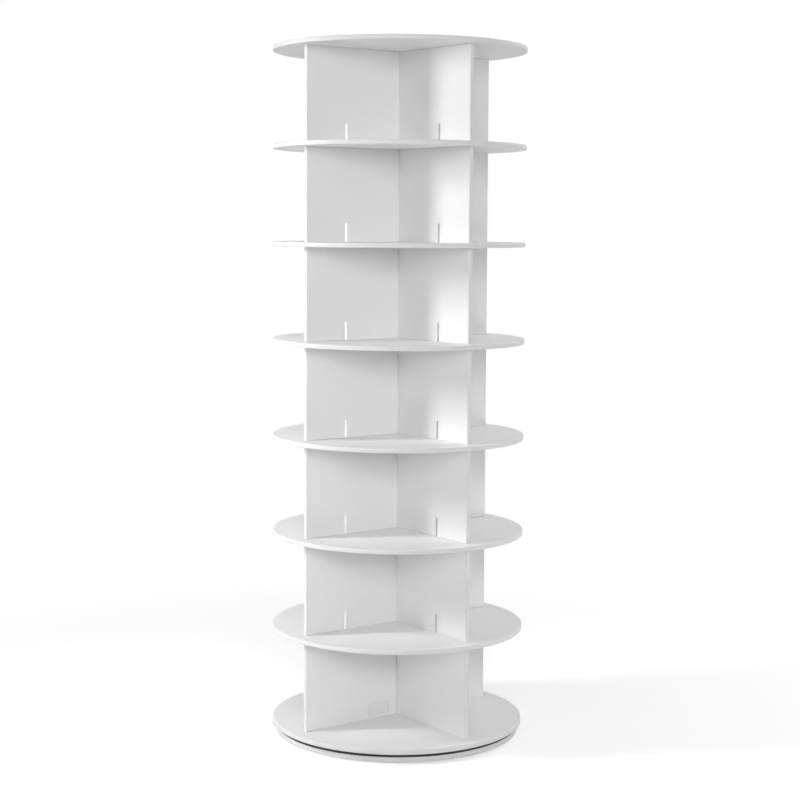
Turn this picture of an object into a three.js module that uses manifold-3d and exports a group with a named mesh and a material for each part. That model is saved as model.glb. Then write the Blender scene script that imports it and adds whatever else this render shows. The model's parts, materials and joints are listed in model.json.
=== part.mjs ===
// Rotating shoe tower: a fixed base disc, a ball-bearing turntable, and on it a turning stack of
// round shelves with a cross of two halved boards between each disc and the next.
// Millimetres, +Z up. The origin is on the floor, on the turning axis. The main dividers run along
// X and the cross dividers along Y, and the badge faces -Y.
import * as THREE from "three";
import { mergeVertices, toCreasedNormals } from "three/addons/utils/BufferGeometryUtils.js";
import Module from "manifold-3d";

const wasm = await Module();
wasm.setup();

// Discs
const discDiameter = 450;
const baseDiameter = 437;
const shelfThickness = 8;
const turningDiscThickness = 9;
const baseDiscThickness = 9;
const discEase = 1; // the eased edge of every disc

// Tiers and their dividers
const tierCount = 7;
const tierHeight = 163.5; // clear, from one disc to the next
const dividerThickness = 8;
const dividerInset = 23.5; // from the disc's rim in to the divider's end
const dividerEase = 0.75;
const halvingClearance = 0.3; // where the two dividers of a tier are let into each other

// Slots up from the dividers' lower edges, one in each wing, above the lowest tier
const firstSlottedTier = 2;
const slotWidth = 4;
const slotHeight = 32.5;
const slotDistance = 118; // from the turning axis to the slot's middle

// Badge on the lowest main divider
const badgeWidth = 46;
const badgeHeight = 23;
const badgeThickness = 0.5;
const badgeCorner = 2;
const badgeDistance = 20.5; // from the turning axis to its near edge
const badgeRise = 5.5; // from the turning disc to its lower edge

// Floor pads
const padCount = 4;
const padRadius = 16;
const padThickness = 1.5;
const padEase = 0.4;
const padInset = 38.5; // from the base disc's rim to a pad's middle

// Turntable: two grooved rings with a caged ring of balls between them
const turntableGap = 6; // from the base disc to the turning disc
const ringStandoff = 1; // from each ring to the disc that it isn't fixed to
const ringWidth = 15;
const ringLip = 0.44; // wall left beside the groove
const ballCircleRadius = 100;
const ballCount = 6;
const ballClearance = 0.1;
const cageThickness = 0.8;
const cageClearance = 0.3; // from the cage to each ring
const cageBridge = 0.45; // cage left above and below a ball's pocket
const pocketClearance = 0.25;
const accessHoleRadius = 4.5; // in the base disc, to reach the outer ring's screws

// Fasteners
const ringScrewCount = 3;
const ringScrew = { shankRadius: 1.6, headRadius: 3, headRim: 0.3, headHeight: 1.7, length: 10, point: 2 };
const boardScrew = { shankRadius: 1.75, headRadius: 3.5, headRim: 0.4, headHeight: 2.2, length: 35, point: 4 };
const headSink = 0.2; // from the surface down to a screw's head
const pinRadius = 2;
const pinDepth = 20; // how far a pin reaches into each divider
const pinEase = 0.5;
const pinInset = 36.5; // from a divider's end to its pins and screws
const fastenerClearance = 0.3;

// How finely round things are cut, and how far a cutting tool passes the surface that it cuts
const roundSteps = 72;
const smallRoundSteps = 8;
const ballSteps = [8, 6];
const cutOverrun = 1;
const mergeTolerance = 1e-4;
const creaseAngle = THREE.MathUtils.degToRad(35);

// Levels, from the floor up
const baseBottom = padThickness;
const baseTop = baseBottom + baseDiscThickness;
const turningDiscBottom = baseTop + turntableGap;
const turningDiscTop = turningDiscBottom + turningDiscThickness;
const tierPitch = tierHeight + shelfThickness;
const dividerBottom = (tier) => turningDiscTop + (tier - 1) * tierPitch;
const dividerTop = (tier) => dividerBottom(tier) + tierHeight;

// Places worked out from the sizes
const dividerHalfLength = discDiameter / 2 - dividerInset;
const pinDistance = dividerHalfLength - pinInset;
const ringGap = cageThickness + 2 * cageClearance;
const ringHeight = turntableGap - ringStandoff;
const grooveHalfHeight = turntableGap / 2 - ringStandoff - ringLip;
const grooveReach = grooveHalfHeight + ringGap / 2; // from the ball circle to the groove's floor
const ballRadius = grooveReach * Math.SQRT1_2 - ballClearance; // the groove's sides lean 45 degrees
const ballLevel = baseTop + turntableGap / 2;
const innerRingScrewRadius = ballCircleRadius - ringGap / 2 - ringWidth / 2;
const outerRingScrewRadius = ballCircleRadius + ringGap / 2 + ringWidth / 2;
const wings = { left: -1, right: 1 };

const whiteBoard = new THREE.MeshStandardMaterial({ color: 0xf3f3f1, roughness: 0.38, metalness: 0 });
const badgePlastic = new THREE.MeshStandardMaterial({ color: 0xe9e9e8, roughness: 0.3, metalness: 0 });
const castAluminium = new THREE.MeshStandardMaterial({ color: 0xb9bcc0, roughness: 0.4, metalness: 1 });
const steel = new THREE.MeshStandardMaterial({ color: 0xa6a8ab, roughness: 0.3, metalness: 1 });
const nylon = new THREE.MeshStandardMaterial({ color: 0xe4e2da, roughness: 0.5, metalness: 0 });
const padRubber = new THREE.MeshStandardMaterial({ color: 0x3a3a3c, roughness: 0.85, metalness: 0 });

// A closed three.js geometry as a solid that can be cut.
function solidOf(geometry) {
  const bare = new THREE.BufferGeometry();
  bare.setAttribute("position", geometry.getAttribute("position"));
  bare.setIndex(geometry.getIndex());
  const merged = mergeVertices(bare, mergeTolerance);
  return new wasm.Manifold(
    new wasm.Mesh({
      numProp: 3,
      vertProperties: merged.attributes.position.array,
      triVerts: new Uint32Array(merged.index.array),
    }),
  );
}

// The geometry with each of the tools cut out of it.
function cut(geometry, tools) {
  let solid = solidOf(geometry);
  for (const tool of tools) solid = solid.subtract(solidOf(tool));
  const mesh = solid.getMesh();
  const result = new THREE.BufferGeometry();
  result.setAttribute("position", new THREE.BufferAttribute(mesh.vertProperties, 3));
  result.setIndex(new THREE.BufferAttribute(mesh.triVerts, 1));
  return toCreasedNormals(result, creaseAngle);
}

// A profile of [radius, height] points turned about the Z axis.
function turned(profile, steps) {
  const points = profile.map(([radius, height]) => new THREE.Vector2(radius, height));
  return new THREE.LatheGeometry(points, steps).rotateX(Math.PI / 2);
}

// A round board lying flat on z = 0, with its edges eased.
function roundBoard(radius, thickness, ease, steps) {
  return turned(
    [
      [0, 0],
      [radius - ease, 0],
      [radius, ease],
      [radius, thickness - ease],
      [radius - ease, thickness],
      [0, thickness],
    ],
    steps,
  );
}

// A countersunk screw with its head's face at z = 0 and its point down. A hole for it is the same
// shape, grown by a clearance and raised past the surface above the head.
function screwShape(screw, grow = 0, rise = 0) {
  const head = screw.headRadius + grow;
  const shank = screw.shankRadius + grow;
  return turned(
    [
      [0, -screw.length - grow],
      [shank, screw.point - screw.length],
      [shank, -screw.headHeight],
      [head, -screw.headRim],
      [head, rise],
      [0, rise],
    ],
    smallRoundSteps,
  );
}

const screwHole = (screw) => screwShape(screw, fastenerClearance, headSink + cutOverrun);

// A plain pin standing from one height to another. The hole for it is a cylinder.
const pinShape = (bottom, top) =>
  roundBoard(pinRadius, top - bottom, pinEase, smallRoundSteps).translate(0, 0, bottom);

function roundHole(radius, bottom, top) {
  return new THREE.CylinderGeometry(radius, radius, top - bottom, smallRoundSteps)
    .rotateX(Math.PI / 2)
    .translate(0, 0, (bottom + top) / 2);
}

// The same shape at each of a number of even steps round the axis.
function placesRound(count, radius, firstTurn = 0) {
  return Array.from({ length: count }, (_, i) => {
    const angle = firstTurn + (i * 2 * Math.PI) / count;
    return [radius * Math.cos(angle), radius * Math.sin(angle)];
  });
}

const ringScrewTurn = Math.PI / 2;
const innerScrewPlaces = placesRound(ringScrewCount, innerRingScrewRadius, -ringScrewTurn);
const outerScrewPlaces = placesRound(ringScrewCount, outerRingScrewRadius, ringScrewTurn);
const wingPlaces = Object.values(wings).map((side) => [side * pinDistance, 0]);

// One tool at each place: make() gives a fresh geometry to move there.
const toolsAt = (places, make) => places.map(([x, y]) => make().translate(x, y, 0));

// A screw's shape or hole, turned to point up from a face that looks down.
const pointingUp = (geometry) => geometry.rotateX(Math.PI);

function makeBaseDisc() {
  const board = roundBoard(baseDiameter / 2, baseDiscThickness, discEase, roundSteps);
  const screwHeadLevel = baseDiscThickness + ringHeight - headSink;
  const pilotHoles = toolsAt(innerScrewPlaces, () =>
    screwHole(ringScrew).translate(0, 0, screwHeadLevel),
  );
  const accessHole = toolsAt(outerScrewPlaces.slice(0, 1), () =>
    roundHole(accessHoleRadius, -cutOverrun, baseDiscThickness + cutOverrun),
  );
  return cut(board, [...pilotHoles, ...accessHole]);
}

function makeTurningDisc() {
  const board = roundBoard(discDiameter / 2, turningDiscThickness, discEase, roundSteps);
  const pilotHoles = toolsAt(outerScrewPlaces, () =>
    pointingUp(screwHole(ringScrew)).translate(0, 0, headSink - ringHeight),
  );
  const dividerHoles = toolsAt(wingPlaces, () =>
    pointingUp(screwHole(boardScrew)).translate(0, 0, headSink),
  );
  return cut(board, [...pilotHoles, ...dividerHoles]);
}

function makeShelf() {
  const board = roundBoard(discDiameter / 2, shelfThickness, discEase, roundSteps);
  const pinHoles = toolsAt(wingPlaces, () =>
    roundHole(pinRadius + fastenerClearance, -cutOverrun, shelfThickness + cutOverrun),
  );
  return cut(board, pinHoles);
}

function makeTopPlate() {
  const board = roundBoard(discDiameter / 2, shelfThickness, discEase, roundSteps);
  const holes = toolsAt(wingPlaces, () =>
    screwHole(boardScrew).translate(0, 0, shelfThickness - headSink),
  );
  return cut(board, holes);
}

// The outline of one divider, from its middle at x = 0 and its lower edge at y = 0. The halving
// notch comes down from the top edge of a main divider and up from the bottom edge of a cross one.
function dividerOutline(slotted, notchAtTop) {
  const halfNotch = dividerThickness / 2 + halvingClearance;
  const notchEnd = (tierHeight + (notchAtTop ? -1 : 1) * halvingClearance) / 2;
  const outline = new THREE.Shape();
  outline.moveTo(-dividerHalfLength, 0);
  const step = (left, right, end, edge) => {
    outline.lineTo(left, edge);
    outline.lineTo(left, end);
    outline.lineTo(right, end);
    outline.lineTo(right, edge);
  };
  const slotAt = (middle) => step(middle - slotWidth / 2, middle + slotWidth / 2, slotHeight, 0);
  if (slotted) slotAt(-slotDistance);
  if (!notchAtTop) step(-halfNotch, halfNotch, notchEnd, 0);
  if (slotted) slotAt(slotDistance);
  outline.lineTo(dividerHalfLength, 0);
  outline.lineTo(dividerHalfLength, tierHeight);
  if (notchAtTop) step(halfNotch, -halfNotch, notchEnd, tierHeight);
  outline.lineTo(-dividerHalfLength, tierHeight);
  outline.closePath();
  return outline;
}

// A divider standing on z = 0 along the X axis, with its edges eased.
function dividerBoard(slotted, notchAtTop) {
  return new THREE.ExtrudeGeometry(dividerOutline(slotted, notchAtTop), {
    depth: dividerThickness - 2 * dividerEase,
    bevelThickness: dividerEase,
    bevelSize: dividerEase,
    bevelOffset: -dividerEase,
    bevelSegments: 1,
  })
    .translate(0, 0, dividerEase - dividerThickness / 2)
    .rotateX(Math.PI / 2);
}

// A main divider, with the holes for the pins or screws that hold it to the discs below and above.
function makeMainDivider(tier) {
  const pinHoleRadius = pinRadius + fastenerClearance;
  const pinHoleDepth = pinDepth + fastenerClearance;
  const lowerHoles =
    tier === 1
      ? () => pointingUp(screwHole(boardScrew)).translate(0, 0, headSink - turningDiscThickness)
      : () => roundHole(pinHoleRadius, -cutOverrun, pinHoleDepth);
  const upperHoles =
    tier === tierCount
      ? () => screwHole(boardScrew).translate(0, 0, tierHeight + shelfThickness - headSink)
      : () => roundHole(pinHoleRadius, tierHeight - pinHoleDepth, tierHeight + cutOverrun);
  return cut(dividerBoard(tier >= firstSlottedTier, true), [
    ...toolsAt(wingPlaces, lowerHoles),
    ...toolsAt(wingPlaces, upperHoles),
  ]);
}

const makeCrossDivider = (tier) => dividerBoard(tier >= firstSlottedTier, false).rotateZ(Math.PI / 2);

function makeBadge() {
  const outline = new THREE.Shape();
  const r = badgeCorner;
  const corners = [
    [badgeWidth - r, r, -Math.PI / 2],
    [badgeWidth - r, badgeHeight - r, 0],
    [r, badgeHeight - r, Math.PI / 2],
    [r, r, Math.PI],
  ];
  for (const [x, y, from] of corners) outline.absarc(x, y, r, from, from + Math.PI / 2, false);
  return new THREE.ExtrudeGeometry(outline, {
    depth: badgeThickness,
    bevelEnabled: false,
    curveSegments: 3,
  }).rotateX(Math.PI / 2);
}

// A bearing ring standing on the given level. Its grooved wall looks outward or inward.
function bearingRing(outward, level) {
  const away = outward ? -1 : 1; // from the balls to the ring's plain wall
  const wall = ballCircleRadius + (away * ringGap) / 2;
  const grooveFloor = ballCircleRadius + away * grooveReach;
  const plainWall = wall + away * ringWidth;
  const middle = turntableGap / 2;
  const profile = [
    [plainWall, level],
    [wall, level],
    [wall, middle - grooveHalfHeight],
    [grooveFloor, middle],
    [wall, middle + grooveHalfHeight],
    [wall, level + ringHeight],
    [plainWall, level + ringHeight],
    [plainWall, level],
  ];
  return turned(outward ? profile : profile.reverse(), roundSteps);
}

function makeInnerRing() {
  const holes = toolsAt(innerScrewPlaces, () =>
    screwHole(ringScrew).translate(0, 0, ringHeight - headSink),
  );
  return cut(bearingRing(true, 0), holes);
}

function makeOuterRing() {
  const holes = toolsAt(outerScrewPlaces, () =>
    pointingUp(screwHole(ringScrew)).translate(0, 0, ringStandoff + headSink),
  );
  return cut(bearingRing(false, ringStandoff), holes);
}

// The thin upright band that keeps the balls apart, about z = 0, with a pocket for each ball.
function makeCage() {
  const halfHeight = ballRadius + pocketClearance + cageBridge;
  const inner = ballCircleRadius - cageThickness / 2;
  const outer = ballCircleRadius + cageThickness / 2;
  const band = turned(
    [
      [inner, -halfHeight],
      [outer, -halfHeight],
      [outer, halfHeight],
      [inner, halfHeight],
      [inner, -halfHeight],
    ],
    roundSteps,
  );
  const pocketRadius = ballRadius + pocketClearance;
  const pocketLength = cageThickness + 2 * cutOverrun;
  const pockets = Array.from({ length: ballCount }, (_, i) =>
    new THREE.CylinderGeometry(pocketRadius, pocketRadius, pocketLength, smallRoundSteps)
      .rotateZ(Math.PI / 2)
      .translate(ballCircleRadius, 0, 0)
      .rotateZ((i * 2 * Math.PI) / ballCount),
  );
  return cut(band, pockets);
}

function place(group, name, geometry, material, x, y, z) {
  const mesh = new THREE.Mesh(geometry, material);
  mesh.name = name;
  mesh.position.set(x, y, z);
  group.add(mesh);
}

// What stands still on the floor.
function makeBase() {
  const base = new THREE.Group();
  const padCircle = baseDiameter / 2 - padInset;
  placesRound(padCount, padCircle, Math.PI / padCount).forEach(([x, y], i) => {
    const pad = roundBoard(padRadius, padThickness, padEase, 2 * smallRoundSteps);
    place(base, `floor_pad_${i + 1}`, pad, padRubber, x, y, 0);
  });
  place(base, "base_disc", makeBaseDisc(), whiteBoard, 0, 0, baseBottom);
  place(base, "bearing_inner_ring", makeInnerRing(), castAluminium, 0, 0, baseTop);
  innerScrewPlaces.forEach(([x, y], i) => {
    const level = baseTop + ringHeight - headSink;
    place(base, `inner_ring_screw_${i + 1}`, screwShape(ringScrew), steel, x, y, level);
  });
  return base;
}

// The balls and their cage, which turn at half the tower's speed.
function makeBallSet() {
  const set = new THREE.Group();
  place(set, "ball_cage", makeCage(), nylon, 0, 0, ballLevel);
  placesRound(ballCount, ballCircleRadius).forEach(([x, y], i) => {
    const ball = new THREE.SphereGeometry(ballRadius, ...ballSteps).rotateX(Math.PI / 2);
    place(set, `bearing_ball_${i + 1}`, ball, steel, x, y, ballLevel);
  });
  return set;
}

// The fasteners of the turning stack, along the main dividers.
function addTowerFasteners(tower) {
  outerScrewPlaces.forEach(([x, y], i) => {
    const level = baseTop + ringStandoff + headSink;
    const screw = pointingUp(screwShape(ringScrew));
    place(tower, `outer_ring_screw_${i + 1}`, screw, steel, x, y, level);
  });
  for (const [wing, side] of Object.entries(wings)) {
    const x = side * pinDistance;
    const bottomScrew = pointingUp(screwShape(boardScrew));
    place(tower, `bottom_screw_${wing}`, bottomScrew, steel, x, 0, turningDiscBottom + headSink);
    for (let shelf = 1; shelf < tierCount; shelf++) {
      const pin = pinShape(-pinDepth, shelfThickness + pinDepth);
      place(tower, `shelf_${shelf}_pin_${wing}`, pin, steel, x, 0, dividerTop(shelf));
    }
    const topLevel = dividerTop(tierCount) + shelfThickness - headSink;
    place(tower, `top_screw_${wing}`, screwShape(boardScrew), steel, x, 0, topLevel);
  }
}

// Everything that turns with the shelves.
function makeTower() {
  const tower = new THREE.Group();
  place(tower, "bearing_outer_ring", makeOuterRing(), castAluminium, 0, 0, baseTop);
  place(tower, "turning_disc", makeTurningDisc(), whiteBoard, 0, 0, turningDiscBottom);
  for (let tier = 1; tier <= tierCount; tier++) {
    const bottom = dividerBottom(tier);
    place(tower, `main_divider_${tier}`, makeMainDivider(tier), whiteBoard, 0, 0, bottom);
    place(tower, `cross_divider_${tier}`, makeCrossDivider(tier), whiteBoard, 0, 0, bottom);
    if (tier < tierCount) {
      place(tower, `shelf_${tier}`, makeShelf(), whiteBoard, 0, 0, dividerTop(tier));
    }
  }
  place(tower, "top_plate", makeTopPlate(), whiteBoard, 0, 0, dividerTop(tierCount));
  const badgeLeft = -badgeDistance - badgeWidth;
  const badgeBottom = turningDiscTop + badgeRise;
  place(tower, "blank_badge", makeBadge(), badgePlastic, badgeLeft, -dividerThickness / 2, badgeBottom);
  addTowerFasteners(tower);
  return tower;
}

const shoeTower = new THREE.Group();
shoeTower.add(makeBase(), makeBallSet(), makeTower());

export default shoeTower;
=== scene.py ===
"""Rotating shoe tower: the finished boards, badge, turntable and fasteners, in a white studio.

Metres, +Z up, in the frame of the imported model. The main dividers run along X and the badge faces -Y.
"""

import json
import math
from itertools import pairwise
from typing import NamedTuple

import bmesh
import bpy
from bpy.props import FloatProperty, FloatVectorProperty, IntProperty, PointerProperty
from mathutils import Matrix, Vector

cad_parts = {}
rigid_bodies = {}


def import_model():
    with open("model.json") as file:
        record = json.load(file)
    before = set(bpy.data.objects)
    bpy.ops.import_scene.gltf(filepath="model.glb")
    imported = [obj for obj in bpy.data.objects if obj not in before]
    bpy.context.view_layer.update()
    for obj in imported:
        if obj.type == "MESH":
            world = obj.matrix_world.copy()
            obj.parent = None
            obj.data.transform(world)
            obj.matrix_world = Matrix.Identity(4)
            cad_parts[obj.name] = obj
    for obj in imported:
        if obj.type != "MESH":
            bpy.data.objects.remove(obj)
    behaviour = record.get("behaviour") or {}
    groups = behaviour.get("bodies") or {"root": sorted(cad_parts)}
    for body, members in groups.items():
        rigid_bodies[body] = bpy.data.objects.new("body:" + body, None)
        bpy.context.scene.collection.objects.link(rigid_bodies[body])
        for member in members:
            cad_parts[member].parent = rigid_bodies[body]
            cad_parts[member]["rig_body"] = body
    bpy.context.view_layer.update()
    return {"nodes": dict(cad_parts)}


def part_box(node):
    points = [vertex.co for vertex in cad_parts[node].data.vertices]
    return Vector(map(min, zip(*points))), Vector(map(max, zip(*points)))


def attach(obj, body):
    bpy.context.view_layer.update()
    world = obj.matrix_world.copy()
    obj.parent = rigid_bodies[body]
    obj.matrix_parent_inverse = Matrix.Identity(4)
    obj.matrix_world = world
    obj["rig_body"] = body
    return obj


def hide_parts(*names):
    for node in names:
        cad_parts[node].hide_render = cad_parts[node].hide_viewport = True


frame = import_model()

bl_info = {
    "name": "Rotating Shoe Tower",
    "version": (1, 0, 0),
    "blender": (4, 5, 0),
    "location": "3D View > Sidebar > Shoe Tower",
    "description": "Dresses the boards, badge, turntable and fasteners of a rotating shoe tower",
    "category": "Object",
}

SHELVES = sorted(n for n in frame["nodes"] if n.startswith("shelf_") and "pin" not in n)
TIERS = range(1, len(SHELVES) + 2)
WINGS = ("left", "right")
FLOOR_PADS = sorted(n for n in frame["nodes"] if n.startswith("floor_pad_"))
BALLS = sorted(n for n in frame["nodes"] if n.startswith("bearing_ball_"))
INNER_SCREWS = sorted(n for n in frame["nodes"] if n.startswith("inner_ring_screw_"))
OUTER_SCREWS = sorted(n for n in frame["nodes"] if n.startswith("outer_ring_screw_"))
BOTTOM_SCREWS = [f"bottom_screw_{wing}" for wing in WINGS]
TOP_SCREWS = [f"top_screw_{wing}" for wing in WINGS]
SCREWS_AND_POINTS_UP = (
    (INNER_SCREWS, False),
    (OUTER_SCREWS, True),
    (BOTTOM_SCREWS, True),
    (TOP_SCREWS, False),
)
BADGE_LOW, BADGE_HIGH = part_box("blank_badge")
PAD_GROOVES = (0.3, 0.55, 0.8)  # where they start, as shares of a pad's radius
GAP_SHADE_SIDES = {"base_disc": 1, "turning_disc": -1}  # the faces round the turntable, which get painted shade
# The discs' third finish is painted shade for the turntable gap.
DISC_FINISHES = ("white_laminate", "white_edge", "grey_backing")
# The third finish of each is its slots' walls: painted light in the main dividers, painted shade in the
# cross ones.
DIVIDER_FINISHES = {
    "main": ("white_laminate", "white_edge", "slot_foil"),
    "cross": ("white_laminate", "white_edge", "bare_board"),
}
UPWARD = Matrix.Identity(4)
DOWNWARD = Matrix.Rotation(math.pi, 4, "X")


# Settings


class TowerSizes(bpy.types.PropertyGroup):
    """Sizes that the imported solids' boxes don't give."""

    disc_edge: FloatProperty(
        name="Disc edge radius", description="Rounding of the round boards' edges",
        default=0.001, unit="LENGTH",
    )
    divider_edge: FloatProperty(
        name="Divider edge radius", description="Rounding of the dividers' edges",
        default=0.00075, unit="LENGTH",
    )
    slot_width: FloatProperty(
        name="Slot width", description="Width of the slots in the dividers' feet",
        default=0.004, unit="LENGTH",
    )
    slot_height: FloatProperty(
        name="Slot height", description="How far a slot rises from the shelf",
        default=0.0325, unit="LENGTH",
    )
    slot_distance: FloatProperty(
        name="Slot distance", description="From the turning axis to a slot's middle",
        default=0.118, unit="LENGTH",
    )
    clearance: FloatProperty(
        name="Clearance", description="Play round the fasteners and in the halved joints",
        default=0.0003, unit="LENGTH",
    )
    badge_corner: FloatProperty(
        name="Badge corner radius", description="Rounding of the badge's corners",
        default=0.002, unit="LENGTH",
    )
    badge_edge: FloatProperty(
        name="Badge edge radius", description="Softness of the badge's rim",
        default=0.00012, unit="LENGTH",
    )
    badge_margin: FloatProperty(
        name="Badge margin", description="From the badge's rim to its border line",
        default=0.0018, unit="LENGTH",
    )
    badge_line: FloatProperty(
        name="Badge line", description="Width of the badge's border line, four times its depth",
        default=0.0005, unit="LENGTH",
    )
    pad_edge: FloatProperty(
        name="Pad edge radius", description="Rounding of the floor pads' edges",
        default=0.0004, unit="LENGTH",
    )
    pad_groove: FloatProperty(
        name="Pad groove", description="Depth of the grooves in a pad's sole, half their width",
        default=0.0005, unit="LENGTH",
    )
    ring_edge: FloatProperty(
        name="Ring edge", description="Chamfer of the bearing rings' edges",
        default=0.0003, unit="LENGTH",
    )
    ring_gap: FloatProperty(
        name="Ring gap", description="Between the two bearing rings",
        default=0.0014, unit="LENGTH",
    )
    ring_lip: FloatProperty(
        name="Ring lip", description="Wall left above and below a ring's groove",
        default=0.00044, unit="LENGTH",
    )


class TowerColours(bpy.types.PropertyGroup):
    """Colours of the finishes."""

    board: FloatVectorProperty(
        name="White board", description="Satin white laminate",
        default=(0.88, 0.88, 0.88), subtype="COLOR", min=0, max=1,
    )
    edge: FloatVectorProperty(
        name="Edge band", description="White band on the boards' edges",
        default=(0.8, 0.8, 0.8), subtype="COLOR", min=0, max=1,
    )
    # Painted shade: dark grey on the discs' faces in the turntable gap, where there is only shade.
    backing: FloatVectorProperty(
        name="Grey backing", description="The discs' faces that meet at the turntable",
        default=(0.22, 0.22, 0.22), subtype="COLOR", min=0, max=1,
    )
    # Painted light: brighter than the edge band, so that the main dividers' slot walls look lit.
    slot_foil: FloatVectorProperty(
        name="Slot foil", description="Bright lining of the main dividers' slots",
        default=(0.97, 0.97, 0.97), subtype="COLOR", min=0, max=1,
    )
    # Painted shade: darker than the edge band, so that the cross dividers' slot walls look shaded.
    bare_board: FloatVectorProperty(
        name="Bare board", description="Inside the cross dividers' slots",
        default=(0.74, 0.74, 0.74), subtype="COLOR", min=0, max=1,
    )
    badge: FloatVectorProperty(
        name="Badge", description="Badge plate",
        default=(0.97, 0.97, 0.97), subtype="COLOR", min=0, max=1,
    )
    # Painted shade: the grey of the sunk border line stands in for shade at the badge's rim.
    badge_line: FloatVectorProperty(
        name="Badge line", description="Border line of the badge",
        default=(0.64, 0.64, 0.64), subtype="COLOR", min=0, max=1,
    )
    aluminium: FloatVectorProperty(
        name="Aluminium", description="Turned bearing rings",
        default=(0.62, 0.63, 0.64), subtype="COLOR", min=0, max=1,
    )
    steel: FloatVectorProperty(
        name="Steel", description="Screws, pins and balls",
        default=(0.55, 0.555, 0.56), subtype="COLOR", min=0, max=1,
    )
    nylon: FloatVectorProperty(
        name="Nylon", description="Ball cage",
        default=(0.78, 0.77, 0.72), subtype="COLOR", min=0, max=1,
    )
    rubber: FloatVectorProperty(
        name="Rubber", description="Floor pads",
        default=(0.045, 0.045, 0.048), subtype="COLOR", min=0, max=1,
    )
    floor: FloatVectorProperty(
        name="Floor", description="Studio floor",
        default=(0.7, 0.7, 0.7), subtype="COLOR", min=0, max=1,
    )


class TowerStudio(bpy.types.PropertyGroup):
    """The photograph's camera and light. Left and right are the camera's own."""

    turn: FloatProperty(
        name="Camera turn", description="From straight in front of the badge round to the camera",
        default=math.radians(-37), unit="ROTATION",
    )
    distance: FloatProperty(
        name="Camera distance", description="From the turning axis, level",
        default=3.0973, unit="LENGTH",
    )
    height: FloatProperty(
        name="Camera height", description="Above the floor",
        default=0.9142, unit="LENGTH",
    )
    yaw: FloatProperty(
        name="Camera yaw", description="How far the camera looks to the right",
        default=0.00078, unit="ROTATION",
    )
    pitch: FloatProperty(
        name="Camera pitch", description="How far the camera looks down",
        default=0.08053, unit="ROTATION",
    )
    roll: FloatProperty(
        name="Camera roll", description="Lean of the camera to the left",
        default=0.00545, unit="ROTATION",
    )
    lens: FloatProperty(name="Lens", description="Focal length", default=77.856, unit="CAMERA")
    shift: FloatProperty(
        name="Lens shift", description="Upright shift, as a share of the picture",
        default=-0.045,
    )
    ambient: FloatProperty(
        name="Ambient light", description="Strength of the room's own light",
        default=0.035, min=0,
    )
    key: FloatProperty(
        name="Key light", description="The small softbox at the left",
        default=7.3, min=0, unit="POWER",
    )
    key_grid: FloatProperty(
        name="Key light with a grid", description="The gridded softbox beside the key light",
        default=3.1, min=0, unit="POWER",
    )
    fill: FloatProperty(
        name="Fill light", description="The large softbox beside the camera",
        default=40.0, min=0, unit="POWER",
    )
    high: FloatProperty(
        name="High light", description="The panel high above the camera",
        default=10.5, min=0, unit="POWER",
    )
    steep: FloatProperty(
        name="Steep light", description="The smaller panel high up and nearer",
        default=2.4, min=0, unit="POWER",
    )
    overhead: FloatProperty(
        name="Overhead light", description="The panel straight above the tower",
        default=14.0, min=0, unit="POWER",
    )
    side: FloatProperty(
        name="Side light", description="The panel high up at the right",
        default=36.0, min=0, unit="POWER",
    )
    low_right: FloatProperty(
        name="Low right light", description="The strip near the floor at the right",
        default=4.2, min=0, unit="POWER",
    )
    low_left: FloatProperty(
        name="Low left light", description="The strip near the floor at the left",
        default=1.9, min=0, unit="POWER",
    )
    slots: FloatProperty(
        name="Slot light", description="The level light from behind, which the left slots mirror",
        default=0.65, min=0,
    )
    slots_turn: FloatProperty(
        name="Slot light's turn", description="Where the slot light comes from, round from +X",
        default=math.radians(118), unit="ROTATION",
    )
    slots_softness: FloatProperty(
        name="Slot light's softness", description="How large the slot light's source looks",
        default=math.radians(1), unit="ROTATION",
    )
    floor_radius: FloatProperty(
        name="Floor radius", description="Half the floor's width",
        default=30, unit="LENGTH",
    )
    floor_glow: FloatProperty(
        name="Floor glow", description="What the camera sees of the lit backdrop in the floor",
        default=0.47, min=0,
    )
    floor_near: FloatProperty(
        name="Floor's near part", description="Up to here the floor shows the tower's shadow",
        default=0.45, unit="LENGTH",
    )
    floor_far: FloatProperty(
        name="Floor's far part", description="From here on the floor is as white as the room",
        default=1.4, unit="LENGTH",
    )


class MeshQuality(bpy.types.PropertyGroup):
    """How finely round things are made."""

    disc_steps: IntProperty(
        name="Disc steps", description="Sides of a round board",
        default=240, min=24,
    )
    ring_steps: IntProperty(
        name="Ring steps", description="Sides of a bearing ring",
        default=144, min=24,
    )
    small_steps: IntProperty(
        name="Small steps", description="Sides of screws, pins, balls and holes",
        default=32, min=8,
    )
    floor_steps: IntProperty(name="Floor steps", description="Sides of the floor", default=96, min=24)
    edge_steps: IntProperty(name="Edge steps", description="Facets in a rounded edge", default=3, min=1)
    crease: FloatProperty(
        name="Crease", description="Edges sharper than this stay sharp",
        default=math.radians(40), unit="ROTATION",
    )


def sizes():
    return bpy.context.scene.shoe_tower_sizes


def colours():
    return bpy.context.scene.shoe_tower_colours


def studio():
    return bpy.context.scene.shoe_tower_studio


def quality():
    return bpy.context.scene.shoe_tower_quality


# Materials

NOISE_LOW, NOISE_HIGH = 0.3, 0.7  # most of a noise lies between these
LAMINATE_IOR = 1.47
FOIL_IOR = 1.8


def new_material(name):
    """A material, its node tree, its Principled shader, and the coordinates for its pattern."""
    material = bpy.data.materials.new(name)
    material.use_nodes = True
    tree = material.node_tree
    coordinates = tree.nodes.new("ShaderNodeTexCoord").outputs["Object"]
    return material, tree, tree.nodes["Principled BSDF"], coordinates


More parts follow.
